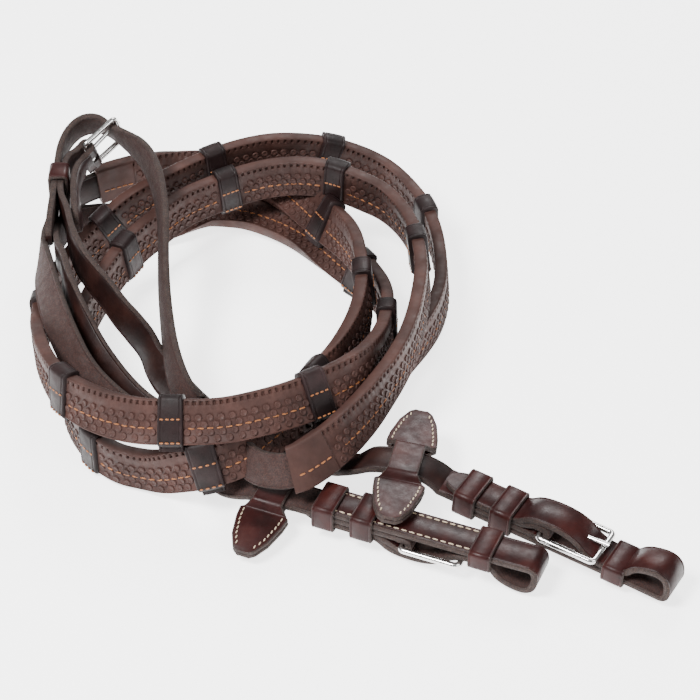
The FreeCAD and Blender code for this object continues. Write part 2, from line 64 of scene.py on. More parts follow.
PLATE_T = 0.0022
PLATE_RISE = 0.00345
PLATE_HALF = ((0.007, 0), (0.007, 0.0095), (0.0115, 0.0135), (0.011, 0.019), (0.0086, 0.029),
              (0.0055, 0.0352), (0.0032, 0.037))
STEP = 0.0015           # between two sections of a strap
TOOTH_PITCH = 0.0032
PIMPLE_PITCH = 0.005
STITCH_PITCH = 0.004

# Where the model's middle lies in the routes' own measure
SHIFT = Vector((0.0003, 0.0232, 0.0013))

# ---- Routes: x, y, z of the middle of the strap and its lean in degrees from upright ----
LEFT_PLAIN = [
    (-0.137, 0.097, 0.037, -10), (-0.138, 0.088, 0.038, -3), (-0.138, 0.077, 0.039, 0),
    (-0.138, 0.062, 0.039, 0), (-0.133, 0.048, 0.04, 0), (-0.13, 0.031, 0.041, -4),
    (-0.124, 0.012, 0.042, -10), (-0.117, 0, 0.041, -12), (-0.11, -0.008, 0.038, -12),
    (-0.104, -0.015, 0.033, -12), (-0.097, -0.02, 0.027, -12), (-0.091, -0.024, 0.02, -12),
    (-0.087, -0.03, 0.015, -25), (-0.084, -0.034, 0.011, -40), (-0.079, -0.044, 0.013, -50),
    (-0.073, -0.057, 0.017, -50), (-0.068, -0.063, 0.016, -40), (-0.063, -0.066, 0.014, -20),
    (-0.059, -0.069, 0.012, 0), (-0.06, -0.074, 0.011, 0), (-0.065, -0.077, 0.01, 0),
    (-0.073, -0.075, 0.009, 0), (-0.082, -0.072, 0.01, 5), (-0.093, -0.068, 0.012, 15),
    (-0.104, -0.065, 0.019, 25), (-0.118, -0.054, 0.027, 35), (-0.128, -0.036, 0.035, 42),
    (-0.136, -0.014, 0.038, 42), (-0.142, 0.013, 0.036, 30), (-0.146, 0.038, 0.028, 7),
    (-0.145, 0.061, 0.022, 6), (-0.144, 0.085, 0.015, 3), (-0.14, 0.102, 0.01, 0),
    (-0.134, 0.11, 0.01, 0),
]
LEFT_RUBBER = [
    (-0.125, 0.114, 0.012, 0), (-0.11, 0.122, 0.012, 0), (-0.096, 0.124, 0.013, -10),
    (-0.082, 0.12, 0.016, -40), (-0.069, 0.118, 0.018, -60), (-0.055, 0.114, 0.019, -72),
    (-0.04, 0.109, 0.0185, -82), (-0.028, 0.101, 0.0185, -74), (-0.009, 0.074, 0.02, -38),
    (0.005, 0.045, 0.027, -8), (0.01, 0.023, 0.03, 5), (0.011, 0.002, 0.03, 8),
    (0.009, -0.015, 0.028, 10), (0.005, -0.028, 0.025, 16), (0, -0.043, 0.025, 28),
    (-0.006, -0.054, 0.025, 45), (-0.013, -0.07, 0.027, 60), (-0.025, -0.09, 0.031, 50),
    (-0.043, -0.105, 0.025, 38), (-0.059, -0.112, 0.024, 24), (-0.072, -0.107, 0.017, 11),
    (-0.081, -0.103, 0.012, 5), (-0.089, -0.1, 0.011, 0), (-0.099, -0.097, 0.011, 0),
    (-0.108, -0.09, 0.011, 0), (-0.115, -0.081, 0.011, 0), (-0.123, -0.066, 0.011, 0),
    (-0.127, -0.049, 0.011, 0), (-0.128, -0.03, 0.012, -4), (-0.125, -0.01, 0.014, -5),
    (-0.12, 0.007, 0.018, -5), (-0.112, 0.025, 0.022, -5), (-0.102, 0.044, 0.025, -5),
    (-0.09, 0.058, 0.027, -4), (-0.079, 0.071, 0.029, -2), (-0.065, 0.08, 0.03, 0),
    (-0.051, 0.086, 0.032, 0), (-0.035, 0.09, 0.034, 0), (-0.019, 0.089, 0.036, 0),
    (-0.004, 0.086, 0.035, 0), (0.009, 0.079, 0.034, 0), (0.022, 0.073, 0.031, 3),
    (0.032, 0.057, 0.03, 5), (0.037, 0.035, 0.032, 6), (0.039, 0.01, 0.034, 6),
    (0.037, -0.009, 0.034, 5), (0.034, -0.027, 0.033, 5), (0.03, -0.043, 0.033, 6),
    (0.025, -0.057, 0.033, 8), (0.019, -0.069, 0.032, 12), (0.011, -0.084, 0.031, 20),
    (0.001, -0.1, 0.031, 28), (-0.009, -0.11, 0.029, 33), (-0.022, -0.121, 0.028, 36),
]
LEFT_TAIL = [
    (-0.037, -0.114, 0.024, 30), (-0.043, -0.104, 0.023, 18), (-0.047, -0.095, 0.016, 8),
    (-0.048, -0.088, 0.01, 0), (-0.048, -0.081, 0.01, 0), (-0.044, -0.076, 0.01, 0),
    (-0.039, -0.076, 0.01, -5), (-0.027, -0.08, 0.007, -50), (-0.012, -0.084, 0.005, -78),
]
RIGHT_PLAIN = [
    (-0.141, 0.032, 0.039, 0), (-0.141, 0.049, 0.039, 0), (-0.141, 0.066, 0.039, 0),
    (-0.141, 0.084, 0.04, 0), (-0.141, 0.098, 0.042, 4), (-0.138, 0.109, 0.045, 12),
    (-0.131, 0.116, 0.048, 20), (-0.122, 0.117, 0.048, 26), (-0.115, 0.112, 0.046, 26),
    (-0.106, 0.103, 0.045, 12), (-0.097, 0.087, 0.049, -8), (-0.09, 0.065, 0.05, -12),
    (-0.086, 0.042, 0.048, -12), (-0.085, 0.021, 0.043, -12), (-0.084, 0.001, 0.037, -12),
    (-0.082, -0.017, 0.03, -12), (-0.079, -0.039, 0.028, -16), (-0.075, -0.058, 0.028, -22),
    (-0.069, -0.067, 0.021, -14), (-0.068, -0.058, 0.01, 0), (-0.068, -0.062, 0.009, 0),
    (-0.071, -0.066, 0.009, 0), (-0.076, -0.065, 0.009, 0), (-0.084, -0.062, 0.009, 10),
    (-0.093, -0.057, 0.011, 20), (-0.104, -0.048, 0.017, 28), (-0.114, -0.038, 0.026, 34),
    (-0.121, -0.025, 0.032, 32), (-0.126, -0.013, 0.037, 20), (-0.13, 0.002, 0.039, 8),
    (-0.132, 0.014, 0.039, 0), (-0.137, 0.028, 0.035, 0), (-0.139, 0.051, 0.027, 0),
    (-0.137, 0.073, 0.018, -3), (-0.127, 0.083, 0.013, -8), (-0.116, 0.086, 0.011, -25),
]
RIGHT_RUBBER = [
    (-0.101, 0.08, 0.011, -15), (-0.085, 0.088, 0.011, -40), (-0.071, 0.098, 0.01, -64),
    (-0.06, 0.098, 0.009, -74), (-0.046, 0.096, 0.008, -82), (-0.029, 0.088, 0.0065, -83),
    (-0.015, 0.077, 0.006, -81), (-0.002, 0.057, 0.01, -50), (0.013, 0.036, 0.012, -12),
    (0.022, 0.012, 0.017, 0), (0.022, -0.012, 0.022, 3), (0.019, -0.036, 0.029, 7),
    (0.013, -0.059, 0.038, 14), (0.005, -0.073, 0.042, 24), (-0.006, -0.083, 0.043, 33),
    (-0.02, -0.092, 0.043, 38), (-0.034, -0.098, 0.043, 40), (-0.053, -0.102, 0.041, 40),
    (-0.075, -0.101, 0.04, 40), (-0.091, -0.098, 0.038, 36), (-0.106, -0.09, 0.036, 28),
    (-0.118, -0.08, 0.034, 16), (-0.128, -0.069, 0.033, 5), (-0.136, -0.049, 0.029, 0),
    (-0.142, -0.024, 0.022, -3), (-0.143, -0.003, 0.017, -5), (-0.142, 0.017, 0.013, -5),
    (-0.137, 0.038, 0.011, -5), (-0.128, 0.055, 0.013, -5), (-0.116, 0.065, 0.02, -5),
    (-0.103, 0.074, 0.028, -4), (-0.089, 0.083, 0.031, -2), (-0.071, 0.096, 0.033, 0),
    (-0.054, 0.104, 0.035, 0), (-0.038, 0.11, 0.035, 0), (-0.025, 0.112, 0.034, 0),
    (-0.011, 0.114, 0.031, 0), (0.001, 0.115, 0.027, 0), (0.013, 0.112, 0.024, 0),
    (0.024, 0.106, 0.021, 0), (0.034, 0.095, 0.018, 2), (0.042, 0.081, 0.016, 3),
    (0.047, 0.064, 0.014, 4), (0.049, 0.046, 0.012, 4), (0.049, 0.027, 0.011, 4),
    (0.045, 0.008, 0.011, 4), (0.038, -0.008, 0.011, 2), (0.03, -0.022, 0.011, 0),
    (0.025, -0.034, 0.011, 0), (0.018, -0.047, 0.011, 0), (0.009, -0.061, 0.011, 0),
    (0.002, -0.073, 0.011, 20),
]
RIGHT_TAIL = [
    (-0.011, -0.069, 0.008, 45), (-0.022, -0.068, 0.009, 60), (-0.033, -0.066, 0.008, 50),
    (-0.043, -0.071, 0.012, 15), (-0.052, -0.079, 0.013, 0), (-0.055, -0.087, 0.009, 0),
    (-0.057, -0.097, 0.008, -30), (-0.051, -0.105, 0.009, -55), (-0.042, -0.109, 0.01, -76),
]
TURN_BACK = [
    (-0.128, 0.042, 0.039, -8), (-0.129, 0.053, 0.039, -8), (-0.131, 0.067, 0.039, -6),
    (-0.132, 0.081, 0.038, 0), (-0.131, 0.092, 0.036, 8),
]

# Along a bit end, across it, lift above its line, lean: how each rein comes up to it.
# The martingale stop sits on the last run.
BIT_APPROACH = {
    "left": [(-0.003, -0.008, -0.009, -90), (0.005, -0.0095, -0.002, -92), (0.014, -0.0076, 0.005, -92),
             (0.037, -0.0003, 0.005, -92)],
    "right": [(0.022, 0, 0, -84), (0.040, 0, 0, -84)],
}
STOP_PLACE = {"left": (0.0128, -2.0), "right": (0.010, 6.0)}   # distance along that run, tilt
HAND_STOPS = {"left": 9, "right": 10}


def tone(red, green, blue):
    """A colour given as 0 to 255 display values, as the linear colour that a shader takes."""
    parts = [c / 255 for c in (red, green, blue)]
    return [((c + 0.055) / 1.055) ** 2.4 if c > 0.04 else c / 12.92 for c in parts] + [1.0]


# ---- Materials ----
class Nodes:
    """A short way to write a material's nodes."""

    def __init__(self, name):
        self.material = bpy.data.materials.new(name)
        self.material.use_nodes = True
        self.tree = self.material.node_tree
        self.shader = self.tree.nodes["Principled BSDF"]
        self.place = self.node("ShaderNodeTexCoord").outputs["Object"]

    def node(self, kind, **settings):
        made = self.tree.nodes.new(kind)
        for key, value in settings.items():
            setattr(made, key, value)
        return made

    def link(self, a, b):
        self.tree.links.new(a, b)

    def noise(self, scale, detail=4.0, roughness=0.55):
        made = self.node("ShaderNodeTexNoise")
        made.inputs["Scale"].default_value = scale
        made.inputs["Detail"].default_value = detail
        made.inputs["Roughness"].default_value = roughness
        self.link(self.place, made.inputs["Vector"])
        return made.outputs["Fac"]

    def cells(self, scale, feature="F1"):
        made = self.node("ShaderNodeTexVoronoi", feature=feature)
        made.inputs["Scale"].default_value = scale
        self.link(self.place, made.inputs["Vector"])
        return made.outputs["Distance"]

    def ramp(self, value, *stops):
        made = self.node("ShaderNodeValToRGB")
        ramp = made.color_ramp
        while len(ramp.elements) < len(stops):
            ramp.elements.new(0.5)
        for element, (spot, colour) in zip(ramp.elements, stops):
            element.position = spot
            element.color = colour
        self.link(value, made.inputs["Fac"])
        return made.outputs["Color"]

    def rough(self, value, low, high):
        self.link(self.span(value, low, high), self.shader.inputs["Roughness"])

    def span(self, value, low, high):
        made = self.node("ShaderNodeMapRange")
        made.inputs["From Min"].default_value = 0.3
        made.inputs["From Max"].default_value = 0.7
        made.inputs["To Min"].default_value = low
        made.inputs["To Max"].default_value = high
        self.link(value, made.inputs["Value"])
        return made.outputs["Result"]

    def colour(self, value):
        self.link(value, self.shader.inputs["Base Color"])

    def bumps(self, *layers):
        """Layers of (value, strength, height in metres), each on the one before."""
        normal = None
        for value, strength, height in layers:
            made = self.node("ShaderNodeBump")
            made.inputs["Strength"].default_value = strength
            made.inputs["Distance"].default_value = height
            self.link(value, made.inputs["Height"])
            if normal:
                self.link(normal, made.inputs["Normal"])
            normal = made.outputs["Normal"]
        self.link(normal, self.shader.inputs["Normal"])


def leather(name, dark, middle, light, gloss=(0.38, 0.55), grain=0.35):
    """Grain leather: fine creased cells in the bump, its colour in random darker and lighter patches."""
    n = Nodes(name)
    patches = n.noise(70, 6)
    n.colour(n.ramp(patches, (0.32, dark), (0.5, middle), (0.72, light)))
    n.rough(n.noise(240, 3), *gloss)
    n.bumps((n.cells(1500, "DISTANCE_TO_EDGE"), grain, 0.00012), (n.noise(420, 5), 0.3, 0.0003))
    n.shader.inputs["Specular IOR Level"].default_value = 0.18
    return n.material


def raw_leather(name, dark, middle, light, depth=0.6):
    """A cut edge or the flesh side: matt, fibrous and speckled."""
    n = Nodes(name)
    n.colour(n.ramp(n.noise(1500, 5, 0.7), (0.36, dark), (0.5, middle), (0.66, light)))
    n.rough(n.noise(300), 0.75, 0.95)
    n.bumps((n.noise(2200, 6, 0.7), depth, 0.0003))
    return n.material


def rubber(name):
    """Brown moulded rubber: matt, with a faint bloom and handling marks."""
    n = Nodes(name)
    n.colour(n.ramp(n.noise(55, 7, 0.6), (0.3, tone(44, 26, 22)), (0.52, tone(58, 36, 31)),
                    (0.75, tone(73, 47, 41))))
    n.rough(n.noise(180, 4), 0.5, 0.75)
    n.bumps((n.noise(2600, 3), 0.12, 0.0001), (n.noise(200, 4), 0.15, 0.0003))
    n.shader.inputs["Specular IOR Level"].default_value = 0.25
    return n.material


def thread(name, dark, light):
    """Waxed linen thread, with its twist."""
    n = Nodes(name)
    n.colour(n.ramp(n.noise(3000, 3), (0.35, dark), (0.6, light)))
    n.rough(n.noise(900), 0.55, 0.8)
    n.bumps((n.noise(5200, 2), 0.5, 0.0001))
    return n.material


def steel(name):
    """Polished stainless wire with fine rubbing marks."""
    n = Nodes(name)
    n.colour(n.ramp(n.noise(160, 4), (0.35, tone(196, 194, 192)), (0.65, tone(224, 223, 222))))
    n.shader.inputs["Metallic"].default_value = 1.0
    n.rough(n.noise(700, 5), 0.12, 0.26)
    n.bumps((n.noise(1800, 4), 0.08, 0.00005))
    return n.material


def table_top(name):
    n = Nodes(name)
    n.colour(n.ramp(n.noise(3, 2), (0.3, (0.93, 0.93, 0.93, 1)), (0.7, (0.96, 0.96, 0.96, 1))))
    n.rough(n.noise(20), 0.7, 0.8)
    n.shader.inputs["Emission Color"].default_value = (1, 1, 1, 1)
    n.shader.inputs["Emission Strength"].default_value = 2.6
    return n.material


GRAIN = leather("strap_grain", tone(20, 10, 9), tone(30, 15, 13), tone(44, 24, 20))
HAVANA = leather("bit_end_grain", tone(26, 9, 9), tone(38, 14, 13), tone(54, 22, 19), (0.3, 0.46))
KEEPER = leather("keeper_grain", tone(30, 11, 10), tone(44, 17, 16), tone(60, 27, 23), (0.32, 0.5))
BAND = leather("hand_stop_grain", tone(18, 11, 11), tone(28, 17, 17), tone(42, 28, 28), (0.42, 0.6), 0.5)
EDGE = raw_leather("cut_edge", tone(22, 12, 10), tone(38, 24, 20), tone(64, 46, 38))
FLESH = raw_leather("flesh_side", tone(30, 15, 12), tone(44, 23, 19), tone(62, 36, 29), 0.9)
RUBBER = rubber("grip_rubber")
ORANGE = thread("orange_thread", tone(104, 60, 32), tone(164, 104, 60))
CREAM = thread("cream_thread", tone(150, 130, 108), tone(212, 194, 168))
STEEL = steel("polished_steel")


# ---- Lines and sections ----
def spline_line(points, fineness=40):
    """Points along the NURBS spline whose control points are given."""
    curve = bpy.data.curves.new("route", "CURVE")
    curve.dimensions = "3D"
    spline = curve.splines.new("NURBS")
    spline.points.add(len(points) - 1)
    for target, point in zip(spline.points, points):
        target.co = (*point, 1)
    spline.order_u = 3
    spline.use_endpoint_u = True
    spline.resolution_u = fineness
    holder = bpy.data.objects.new("route", curve)
    mesh = bpy.data.meshes.new_from_object(holder)
    line = np.empty(len(mesh.vertices) * 3)
    mesh.vertices.foreach_get("co", line)
    bpy.data.objects.remove(holder)
    bpy.data.curves.remove(curve)
    bpy.data.meshes.remove(mesh)
    return line.reshape(-1, 3)


def unit(rows):
    return rows / np.linalg.norm(rows, axis=-1, keepdims=True)


def lengths(line):
    """The distance along a line to each of its points."""
    return np.concatenate([[0], np.cumsum(np.linalg.norm(np.diff(line, axis=0), axis=1))])


def along_line(line, total, at):
    return np.stack([np.interp(at, total, line[:, i]) for i in range(3)], axis=1)


class Run:
    """A strap's middle line with the directions along it, across its width and through it."""

    def __init__(self, place, heading, width):
        self.place = np.array(place)
        self.heading = unit(np.array(heading))
        width = np.array(width) - self.heading * np.sum(np.array(width) * self.heading, axis=1, keepdims=True)
        self.width = unit(width)
        self.through = np.cross(self.heading, self.width)

    def __add__(self, other):
        return Run(np.vstack([self.place, other.place]), np.vstack([self.heading, other.heading]),
                   np.vstack([self.width, other.width]))

    def distances(self):
        return lengths(self.place)

    def at(self, distances):
        """The same run, sampled at distances along it."""
        total = self.distances()
        parts = [along_line(rows, total, distances) for rows in (self.place, self.heading, self.width)]
        return Run(*parts)

    def shifted(self, across, through):
        return Run(self.place + self.width * across + self.through * through, self.heading, self.width)

    def nearest(self, point):
        return self.distances()[np.argmin(np.linalg.norm(self.place - np.array(point), axis=1))]


def leaning_run(points, step=STEP):
    """A run over points of x, y, z and lean in degrees from upright."""
    line = spline_line([Vector(p[:3]) + SHIFT for p in points])
    leans = spline_line([(p[3], 0, 0) for p in points])[:, 0]
    total = lengths(line)
    at = np.linspace(0, total[-1], int(total[-1] / step) + 1)
    place = along_line(line, total, at)
    heading = unit(np.gradient(place, axis=0))
    right = unit(np.cross(heading, (0, 0, 1)))
    upward = np.cross(right, heading)
    tip = np.radians(np.interp(at, total, leans))[:, None]
    return Run(place, heading, upward * np.cos(tip) + right * np.sin(tip))


def placed_run(spots, to_model, width, step=0.0006):
    """A run over points of x and z in a frame's own X-Z plane, with its width along that frame's Y."""
    line = spline_line([to_model @ Vector((x, 0, z)) for x, z in spots])
    total = lengths(line)
    at = np.linspace(0, total[-1], int(total[-1] / step) + 1)
    place = along_line(line, total, at)
    across = (to_model.to_3x3() @ Vector((0, 1, 0))) * width
    return Run(place, unit(np.gradient(place, axis=0)), np.tile(np.array(across), (len(at), 1)))


def model(name, vertices, faces, materials, slots=None, sharp=40, parent=None):
    """A mesh piece from arrays."""
    mesh = bpy.data.meshes.new(name)
    mesh.from_pydata([tuple(v) for v in vertices], [], faces)
    for material in materials:
        mesh.materials.append(material)
    if slots is not None:
        mesh.polygons.foreach_set("material_index", slots)
    mesh.shade_smooth()
    mesh.set_sharp_from_angle(angle=math.radians(sharp))
    piece = bpy.data.objects.new(name, mesh)
    bpy.context.scene.collection.objects.link(piece)
    if parent:
        piece.parent = parent
    return piece


def loft(run, sections, closed=False, slots=None):
    """Vertices, faces and material slots of a body with one section, in width and thickness, per station."""
    sections = np.asarray(sections)
    if sections.ndim == 2:
        sections = np.tile(sections, (len(run.place), 1, 1))
    count, size = sections.shape[:2]
    vertices = (run.place[:, None] + run.width[:, None] * sections[..., :1]
                + run.through[:, None] * sections[..., 1:]).reshape(-1, 3)
    slots = slots or [0] * size
    faces, face_slots = [], []
    for i in range(count if closed else count - 1):
        here, following = i * size, (i + 1) % count * size
        for j in range(size):
            k = (j + 1) % size
            faces.append((here + j, here + k, following + k, following + j))
            face_slots.append(slots[j])
    if not closed:
        faces.append(tuple(range(size - 1, -1, -1)))
        faces.append(tuple((count - 1) * size + j for j in range(size)))
        face_slots += [slots[size // 4]] * 2
    return vertices, faces, face_slots


def joined(*bodies):
    """Several (vertices, faces, slots) as one."""
    vertices, faces, slots = [], [], []
    count = 0
    for some_vertices, some_faces, some_slots in bodies:
        vertices.append(some_vertices)
        faces += [tuple(i + count for i in face) for face in some_faces]
        slots += list(some_slots)
        count += len(some_vertices)
    return np.vstack(vertices), faces, slots


def strap_section(width=STRAP_W, thickness=LEATHER_T, crease=0.0013):
    """A strap's section with rounded edges and a crease line near each, and the slot of each side."""
    w, t = width / 2, thickness / 2
    face = [-w + 0.0005, -w + crease - 0.0003, -w + crease, -w + crease + 0.0003,
            w - crease - 0.0003, w - crease, w - crease + 0.0003, w - 0.0005]
    depth = [0, 0, 0.00022, 0, 0, 0.00022, 0, 0]
    lower = [(x, -t + d) for x, d in zip(face, depth)]
    upper = [(x, t - d) for x, d in zip(face[::-1], depth)]
    section = lower + [(w, -t + 0.0006), (w, t - 0.0006)] + upper + [(-w, t - 0.0006), (-w, -t + 0.0006)]
    return section, [0] * 7 + [1] * 3 + [2] * 7 + [1] * 3


def template_stitch(length, radius):
    """Half-sunk thread, one stitch long: a row of rings along X."""
    vertices, faces = [], []
    for x, share in ((-0.5, 0.25), (-0.38, 0.8), (0, 1), (0.38, 0.8), (0.5, 0.25)):
        for k in range(6):
            turn = k * math.pi / 3
            vertices.append((x * length, math.cos(turn) * radius * share, math.sin(turn) * radius * share))
    for i in range(4):
        for k in range(6):
            m = (k + 1) % 6
            faces.append((i * 6 + k, i * 6 + m, (i + 1) * 6 + m, (i + 1) * 6 + k))
    faces += [tuple(range(5, -1, -1)), tuple(range(24, 30))]
    return np.array(vertices), faces


def template_pimple():
    """A low round knob with a raised rim and a dished top."""
    rings = ((0.00165, -0.0002), (0.00158, 0.0005), (0.00138, 0.0007), (0.00112, 0.0007), (0.00095, 0.00056))
    count = 12
    vertices = [(r * math.cos(2 * math.pi * k / count), r * math.sin(2 * math.pi * k / count), z)
                for r, z in rings for k in range(count)]
    vertices.append((0, 0, 0.00056))
    faces = []
    for i in range(len(rings) - 1):
        for k in range(count):
            m = (k + 1) % count
            faces.append((i * count + k, i * count + m, (i + 1) * count + m, (i + 1) * count + k))
    last = (len(rings) - 1) * count
    faces += [(last + k, last + (k + 1) % count, len(vertices) - 1) for k in range(count)]
    return np.array(vertices), faces


def scattered(template, place, first, second, third):
    """Copies of a template, each at a place with its own three directions."""
    shape, faces = template
    vertices = (place[:, None] + first[:, None] * shape[None, :, :1] + second[:, None] * shape[None, :, 1:2]
                + third[:, None] * shape[None, :, 2:]).reshape(-1, 3)
    size = len(shape)
    all_faces = [tuple(i + n * size for i in face) for n in range(len(place)) for face in faces]
    return vertices, all_faces, [0] * len(all_faces)


def stitch_row(run, start, end, across, height, pitch=STITCH_PITCH, radius=0.00042, length=None):
    """A row of stitches along a run, on its upper (+) or lower (-) face."""
    count = max(int(round((end - start) / pitch)), 1)
    spots = run.at(start + (np.arange(count) + 0.5) * (end - start) / count).shifted(across, height)
    side = 1.0 if height > 0 else -1.0
    return scattered(template_stitch(length or pitch * 0.72, radius), spots.place, spots.heading,
                     spots.width * side, spots.through * side)


# ---- The two reins' lines ----
def frame_matrix(origin, along, across, upward):
    made = Matrix.Identity(4)
    for column, vector in enumerate((along, across, upward, Vector(origin) + SHIFT)):
        for row in range(3):
            made[row][column] = vector[row]
    return made


def left_bit_frame():
    pitch = math.radians(4.0)
    flat = Vector((0.865, -0.502, 0)).normalized()
    along = flat * math.cos(pitch) - Vector((0, 0, 1)) * math.sin(pitch)
    across = Vector((-flat.y, flat.x, 0))
    origin = Vector((0.0076, -0.0899, math.sin(pitch) * LOOP_END))
    return frame_matrix(origin, along, across, along.cross(across))


def right_bit_frame():
    along = Vector((0.923, -0.385, 0)).normalized()
    across = Vector((along.y, -along.x, 0))
    return frame_matrix((-0.0582, -0.102, 0.0176), along, across, Vector((0, 0, -1)))


def centre_frame():
    along = Vector((0.715, 0.569, 0.407)).normalized()
    bar = Vector((-0.139, -0.454, 0.88))
    bar = (bar - along * bar.dot(along)).normalized()
    return frame_matrix((-0.1272, 0.102, 0.039), along, -bar, bar.cross(along))


BIT_FRAME = {"left": left_bit_frame(), "right": right_bit_frame()}
CENTRE = centre_frame()
ROUTE = {"left": (LEFT_PLAIN, LEFT_RUBBER, LEFT_TAIL), "right": (RIGHT_PLAIN, RIGHT_RUBBER, RIGHT_TAIL)}


def direction(matrix, column):
    return Vector([matrix[row][column] for row in range(3)])


def lean_of(heading, width):
    along = heading.normalized()
    right = along.cross(Vector((0, 0, 1))).normalized()
    return math.degrees(math.atan2(width.dot(right), width.dot(right.cross(along))))


def approach(side):
    """Where a rein comes up to its bit end: a list of (place, lean), as in the routes."""
    left_hand = Vector((0, 0, 1)).cross(direction(BIT_FRAME[side], 0)).normalized()
    places = []
    for x, across, lift, lean in BIT_APPROACH[side]:
        place = BIT_FRAME[side] @ Vector((x, 0, MAIN_Z)) - SHIFT
        places.append((place + left_hand * across + Vector((0, 0, lift)), lean))
    return places


def end_points(side):
    """The last points of a rein's route, up to its straight bit end."""
    points = [(*place, lean) for place, lean in approach(side)]
    meet = BIT_FRAME[side] @ Vector((LAID_FROM, 0, MAIN_Z)) - SHIFT
    return points + [(*meet, -90)]


def rein_run(side):
    plain, grip, tail = ROUTE[side]
    points = plain + grip + tail + end_points(side)
    if side == "left":
        start = CENTRE @ Vector((-0.005, 0, 0.003)) - SHIFT
        across = direction(CENTRE, 1)
        points = [(*start, lean_of(-direction(CENTRE, 0), -across))] + points
    return leaning_run(points)


RUN = {side: rein_run(side) for side in ROUTE}

# ---- Straps ----
def sampled(run, start, end, step=0.0008):
    return run.at(np.linspace(start, end, max(int((end - start) / step), 2)))


def slotted(run, section, slots, start, end, half_slot=0.0018):
    """A strap with a slot for a buckle's tongue between two distances along it."""
    edge, t = STRAP_W / 2, LEATHER_T / 2
    bodies = [loft(sampled(run, 0, start), section, slots=slots)]
    for low, high in ((-edge, -half_slot), (half_slot, edge)):
        strip = [(low, -t), (high, -t), (high, t), (low, t)]
        bodies.append(loft(sampled(run, start, end), strip, slots=[slots[0], 1, slots[12], 1]))
    bodies.append(loft(sampled(run, end, run.distances()[-1]), section, slots=slots))
    return joined(*bodies)


def pointed_loft(run, section, slots, reach=0.011, backwards=False):
    """A strap that narrows to a blunt point at its start, or at its end."""
    total = run.distances()
    from_tip = total[-1] - total if backwards else total
    share = np.clip(0.3 + 0.7 * np.sqrt(np.clip(from_tip / reach, 0, 1)), 0, 1)
    sections = np.tile(np.array(section), (len(total), 1, 1))
    sections[..., 0] *= share[:, None]
    return loft(run, sections, slots=slots)


SECTION, SLOTS = strap_section()
GRAIN_UPWARD = [2 if s == 0 else 0 if s == 2 else 1 for s in SLOTS]
LEATHERS = [GRAIN, EDGE, FLESH]
HAVANAS = [HAVANA, EDGE, FLESH]
CHAPE = [(LAID_FROM, MAIN_Z), (0.070, MAIN_Z), (0.088, MAIN_Z), (CHAPE_BAR, MAIN_Z), (0.098, MAIN_Z),
         (0.098, 0.0127), (CHAPE_BAR, 0.0127), (0.092, 0.0127), (0.0865, TIP_Z), (0.081, TIP_Z), (0.074, TIP_Z)]
BILLET = [(0.054, BASE_Z), (0.090, BASE_Z), (0.130, BASE_Z), (0.147, 0.0033), (0.1567, 0.0030),
          (0.1545, 0.0168), (0.140, 0.0142), (0.135, MAIN_Z), (0.119, MAIN_Z), (0.109, ARCH_Z),
          (0.090, ARCH_Z), (0.083, TIP_Z), (0.076, TIP_Z), (0.046, TIP_Z)]
CENTRE_FOLD = [(-0.005, -0.003), (0, -0.003), (0.003, -0.003), (0.003, 0.003), (0, 0.003), (-0.005, 0.003)]
FACING = {"left": 1, "right": -1}

straps, grips, on_rein = {}, {}, {"left": [], "right": []}
for side in ("left", "right"):
    run, matrix = RUN[side], BIT_FRAME[side]
    slots = GRAIN_UPWARD if side == "left" else SLOTS
    chape = placed_run(CHAPE, matrix, FACING[side])
    total = chape.distances()
    bar = matrix @ Vector((CHAPE_BAR, 0, BAR_Z))
    near_bar = total[np.linalg.norm(chape.place - np.array(bar), axis=1) < 0.0042]
    end = slotted(chape, SECTION, slots, near_bar[0], near_bar[-1])
    bodies = [end]
    run_shape = loft(run, SECTION, slots=slots)
    if side == "left":
        fold = placed_run(CENTRE_FOLD, CENTRE, -1)
        back = CENTRE @ Vector((-0.005, 0, -0.003)) - SHIFT
        lean = lean_of(direction(CENTRE, 0), -direction(CENTRE, 1))
        turned = leaning_run(TURN_BACK + [(*back, lean)])
        middle = fold.distances()[-1] / 2
        bodies += [slotted(fold, SECTION, slots, middle - 0.006, middle + 0.006),
                   pointed_loft(turned, SECTION, slots)]
    else:
        run_shape = pointed_loft(run, SECTION, slots)
    strap = model(side + "_strap", *run_shape[:2], LEATHERS, run_shape[2])
    folded = joined(*bodies)
    folds = model(side + "_strap_folds", *folded[:2], HAVANAS, folded[2], parent=strap)
    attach(strap, "reins")
    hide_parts(side + "_rein_strap")
    straps[side] = strap

    billet_run = placed_run(BILLET, matrix, 1)
    billet = model(side + "_billet", *pointed_loft(billet_run, SECTION, slots=SLOTS, backwards=True)[:2],
                   HAVANAS, pointed_loft(billet_run, SECTION, slots=SLOTS, backwards=True)[2])
    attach(billet, "reins")
    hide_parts(side + "_bit_billet")
    rows = []
    for across in (-0.0058, 0.0058):
        rows.append(stitch_row(billet_run, 0.003, 0.072, across, -0.00155, 0.0036, 0.00036))
        rows.append(stitch_row(chape, 0.010, 0.030, across, 0.00155, 0.0036, 0.00036))
    threads = model(side + "_end_stitches", *joined(*rows)[:2], [CREAM], parent=billet)
    on_rein[side] += [billet]


# ---- Rubber grips ----
ROWS = (0.41, 0.56, 0.72, 0.86)
SEAM = 0.64
FACE = ((0, 0.0021), (0.02, 0.0029), (0.05, 0.0031), (0.058, 0.0031), (0.135, 0.0031), (0.145, 0.00285),
        (0.33, 0.00285), (0.342, 0.0026), (0.955, 0.0026), (0.97, 0.0029), (0.99, 0.0028), (1.0, 0.0019))


